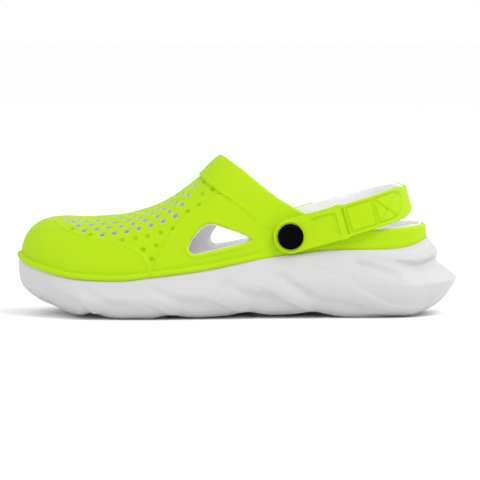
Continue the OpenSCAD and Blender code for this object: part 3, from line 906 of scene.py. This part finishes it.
def build_strap(lining=False):
    """The strap as one sweep of cross sections, or the lining along its inner face."""
    steps, columns, soft, inset = (200, 13, 0.5, 0.6) if lining else (640, 55, 1.0, 0.0)
    fine, s_at = strap_path()
    total = s_at[-1]
    # from tab end to tab end
    start = np.interp(-TAB_R + 0.05, fine[:200, 0], s_at[:200])
    at = np.linspace(start, total - start, steps)
    x = np.interp(at, s_at, fine[:, 0])
    y = np.interp(at, s_at, fine[:, 1])
    if lining:
        keep = x > LINING_FROM
        at, x, y = at[keep], x[keep], y[keep]
    way = np.stack([np.gradient(x), np.gradient(y)], 1)
    way /= np.linalg.norm(way, axis=1)[:, None]
    inn = np.stack([-way[:, 1], way[:, 0]], 1)
    half = strap_half(x) - inset
    across = np.linspace(-1, 1, columns)
    a, b = -STRAP_T / 2, STRAP_T / 2
    grow = np.ones(len(at))
    if lining:
        a, b = b + BOND, b + BOND + PAD_T
        # it thins to a tenth at its two ends
        grow = 0.1 + 0.9 * ease(np.minimum(at - at[0], at[-1] - at) / 9)
    rings = []
    for k in range(len(at)):
        w = half[k]
        z = across * w
        edge = fillet((1 - np.abs(across)) * w, min(soft, w)) * grow[k]
        out_d = np.full(len(z), a) + edge
        if not lining:
            out_d -= strap_relief(np.full(len(z), x[k]), z)
        in_d = np.full(len(z), a + (b - a) * grow[k]) - edge
        middle = (out_d[[-1, 0]] + in_d[[-1, 0]]) / 2
        zs = np.concatenate([z, z[-1:], z[::-1], z[:1]])
        ds = np.concatenate([out_d, middle[:1], in_d[::-1], middle[1:]])
        rings.append(np.stack([x[k] + ds * inn[k, 0], y[k] + ds * inn[k, 1], zs], 1))
    m = len(rings[0])
    v = to_pivot(np.concatenate(rings))
    faces = ring_faces(m, len(rings))[:, ::-1].tolist()
    # both end faces
    w = columns
    last = (len(rings) - 1) * m
    for i in range(w - 1):
        faces.append([i, i + 1, m - 3 - i, m - 2 - i][::-1])
        faces.append([last + i, last + i + 1, last + m - 3 - i, last + m - 2 - i])
    for q in ([w - 1, w, w + 1, w + 1], [m - 2, m - 1, 0, 0]):
        faces.append(q[::-1])
        faces.append([last + i for i in q])
    if lining:
        return make("strap_lining_band", v, faces, LINING, "strap_lining", body="strap")
    ob = make("heel_strap_band", v, faces, LIME, "heel_strap", body="strap")
    # the inner face is moulded in the lining's colour, and so is the inner half of the edge
    # from past the round ends on
    ob.data.materials.append(LINING)
    for face in ob.data.polygons[:last]:
        ring, place = divmod(face.index, m)
        on_edge = 0 if x[ring] > 20 else 2
        if w + on_edge <= place <= m - 2 - on_edge:
            face.material_index = 1
    return ob


# ---------------------------------------------------------------- flat pieces and turned pieces
def plate(name, rings, top_z, low_z, material, node):
    """A slab whose edge runs through rings, from the top ring down; its faces are grids."""
    cols = 46
    n = len(rings[0])
    h = n // 2
    skins = []
    for ring, height in ((rings[0], top_z), (rings[-1], low_z)):
        near = ring[: h + 1]
        far = np.concatenate([ring[:1], ring[:h - 1:-1]])
        u = (np.arange(cols + 1) / cols)[None, :, None]
        q = near[:, None] * (1 - u) + far[:, None] * u
        wide = np.linalg.norm(far[:, :2] - near[:, :2], axis=1)[:, None]
        edge = wide * np.minimum(u[:, :, 0], 1 - u[:, :, 0])
        ends = np.minimum(np.abs(q[:, :, 0] - ring[0, 0]), np.abs(q[:, :, 0] - ring[h, 0]))
        q[:, :, 2] += height(q[:, :, 0], q[:, :, 1], np.minimum(edge, ends))
        skins.append(q.reshape(-1, 3))
    i, j = np.meshgrid(np.arange(h), np.arange(cols), indexing="ij")
    a = (i * (cols + 1) + j).ravel()
    f = np.stack([a, a + cols + 1, a + cols + 2, a + 1], 1)
    size = len(skins[0])
    edge_at = [0] + [k * (cols + 1) for k in range(1, h)] + [h * (cols + 1)]
    edge_at += [k * (cols + 1) + cols for k in range(h - 1, 0, -1)]
    edge_at = np.array(edge_at)
    loops = [edge_at] + [2 * size + k * n + np.arange(n) for k in range(len(rings) - 2)]
    loops.append(edge_at + size)
    v = np.concatenate(skins + list(rings[1:-1]))
    faces = [f[:, ::-1], f + size]
    for up, down in zip(loops[:-1], loops[1:]):
        faces.append(np.stack([up, np.roll(up, -1), np.roll(down, -1), down], 1))
    v, f = weld(v, np.concatenate(faces), 2e-3)
    return make(name, v, f, material, node, sharp=44)


def build_outsole():
    """The tread, with wavy cross grooves and a channel down the middle."""
    xs = stations(lambda x: 1.3)
    o, out = outline(xs)
    x = o[:, 0]
    rings = []
    for s, z in ((0, TREAD_T), (1, 0.9), (3.3, 0.0)):
        q = o - out * (tread_in(x) + s)[:, None]
        rings.append(np.concatenate([q, (ground(q[:, 0]) + z)[:, None]], 1))

    def top(x, y, edge):
        return ground(x) - (ground(x[:, :1]) + ground(x[:, -1:])) / 2

    def low(x, y, edge):
        wave = (x + 3.2 * np.sin(y / 5.5) + 7) % 13.0 - 6.5
        cross = ease((1.9 - np.abs(wave)) / 0.7 + 0.5)
        mid = ease((1.6 - np.abs(y - 1.2 - 5 * np.sin(x / 38))) / 0.7 + 0.5)
        return top(x, y, edge) + 1.5 * np.maximum(cross, mid) * ease((edge - 2.6) / 1.2)

    return plate("outsole_tread", rings, top, low, LIT_TREAD, "outsole")


def build_footbed():
    """The footbed: a dished top with soft nubs under the foot."""
    xs = stations(lambda x: 1.3)
    o, out = outline(xs)
    x = o[:, 0]
    rings = []
    for s, z in ((5.6, 1.6), (5.6, 0.35), (7.4, 0.25), (7.4, BOND - WELL)):
        q = o - out * s
        rings.append(np.concatenate([q, (curve(x, SEAM) + z)[:, None]], 1))

    def top(x, y, edge):
        dish = -0.3 * ease(edge / 3.4) - 1.7 * ease((edge - 2) / 12.4)
        row = np.round(y / 5.4)
        dx = (x + np.where(row % 2 > 0, 3.1, 0)) % 6.2 - 3.1
        r = np.hypot(dx, y - 5.4 * row)
        return dish + 0.55 * ease(1.5 - r / 1.5) * ease((edge - 7) / 4)

    def low(x, y, edge):
        return 0.0

    return plate("footbed_pad", rings, top, low, BED, "footbed")


def build_caps():
    """Snap caps of the rivets: a domed button with a fine step."""
    # the three running gaps between seat, washer, strap and cap add up to play
    washer, play = 0.8, 0.3
    z = washer + play + STRAP_T
    profile = [(0, 2.1), (3.05, 2.1), (3.05, 0), (8.2, 0), (8.55, 0.12), (8.7, 0.45), (8.7, 1.5),
               (8.6, 1.95), (8.3, 2.28), (7.9, 2.42), (7.6, 2.4), (7.4, 2.32), (7.2, 2.4), (6.8, 2.66),
               (5.4, 2.95), (4, 3.1), (2, 3.18), (0, 3.2)]
    for name, y, way in (("left", -SEAT_NEAR, -1), ("right", SEAT_FAR, 1)):
        v, f = lathe(profile, 72, np.array([PIVOT_X, y + way * z, PIVOT_Z]), np.array([0.0, way, 0]))
        v, f = weld(v, f)
        make("rivet_cap_button_" + name, v, f, BLACK, "rivet_cap_" + name,
             sharp=30)


# ---------------------------------------------------------------- the rest
def finish_cad_nodes():
    """Black plastic on the posts and washers, which keep their CAD shape."""
    for name in ("rivet_post_left", "rivet_post_right", "rivet_washer_left", "rivet_washer_right"):
        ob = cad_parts[name]
        for slot_at in range(max(len(ob.material_slots), 1)):
            if not ob.material_slots:
                ob.data.materials.append(BLACK)
            ob.material_slots[slot_at].material = BLACK


def studio():
    """Plain pale floor, soft light from above and both sides, and the photo's camera."""
    scene = bpy.context.scene
    scene.view_settings.view_transform = "Standard"
    mesh = bpy.data.meshes.new("floor")
    reach = 4.0
    corners = [(x * reach, y * reach, 0) for x, y in ((-1, -1), (1, -1), (1, 1), (-1, 1))]
    mesh.from_pydata(corners, [], [(0, 1, 2, 3)])
    floor = bpy.data.objects.new("floor", mesh)
    scene.collection.objects.link(floor)
    m = bpy.data.materials.new("floor")
    m.use_nodes = True
    s = m.node_tree.nodes["Principled BSDF"]
    s.inputs["Base Color"].default_value = (0.98, 0.98, 0.98, 1)
    s.inputs["Roughness"].default_value = 0.9
    s.inputs["Specular IOR Level"].default_value = 0.0
    mesh.materials.append(m)
    world = bpy.data.worlds.new("studio")
    scene.world = world
    world.use_nodes = True
    world.node_tree.nodes["Background"].inputs[0].default_value = (1, 1, 1, 1)
    world.node_tree.nodes["Background"].inputs[1].default_value = 1.0

    def lamp(name, place, aim, size, power):
        data = bpy.data.lights.new(name, "AREA")
        data.energy = power
        data.size = size
        ob = bpy.data.objects.new(name, data)
        scene.collection.objects.link(ob)
        ob.location = place
        ob.rotation_euler = toward(np.array(aim) - np.array(place))

    lamp("key", (0.5, -0.6, 1.1), (0, 0, 0.03), 0.6, 6)
    lamp("fill", (-0.9, -0.7, 0.5), (0, 0, 0.05), 0.8, 1.2)
    lamp("rim", (0.9, 0.4, 0.8), (0.05, 0, 0.05), 0.7, 3)

    distance = 4.0
    aim = np.array([1.4, -50, 54]) * MM
    lift = math.radians(4.5)
    data = bpy.data.cameras.new("camera")
    cam = bpy.data.objects.new("camera", data)
    scene.collection.objects.link(cam)
    place = aim + distance * np.array([0, -math.cos(lift), math.sin(lift)])
    cam.location = place
    cam.rotation_euler = toward(aim - place)
    sensor, seen_width = 36, 322.8 * MM
    data.sensor_width = sensor
    data.lens = sensor * distance / seen_width
    data.clip_end = 50
    scene.camera = cam


def toward(way):
    """Rotation of a lamp or camera that looks along a direction."""
    return Vector(way).to_track_quat("-Z", "Y").to_euler()


build_upper()
build_lining()
build_vent_sleeves()
build_midsole()
build_strap()
build_strap(lining=True)
build_outsole()
build_footbed()
build_caps()
finish_cad_nodes()
studio()
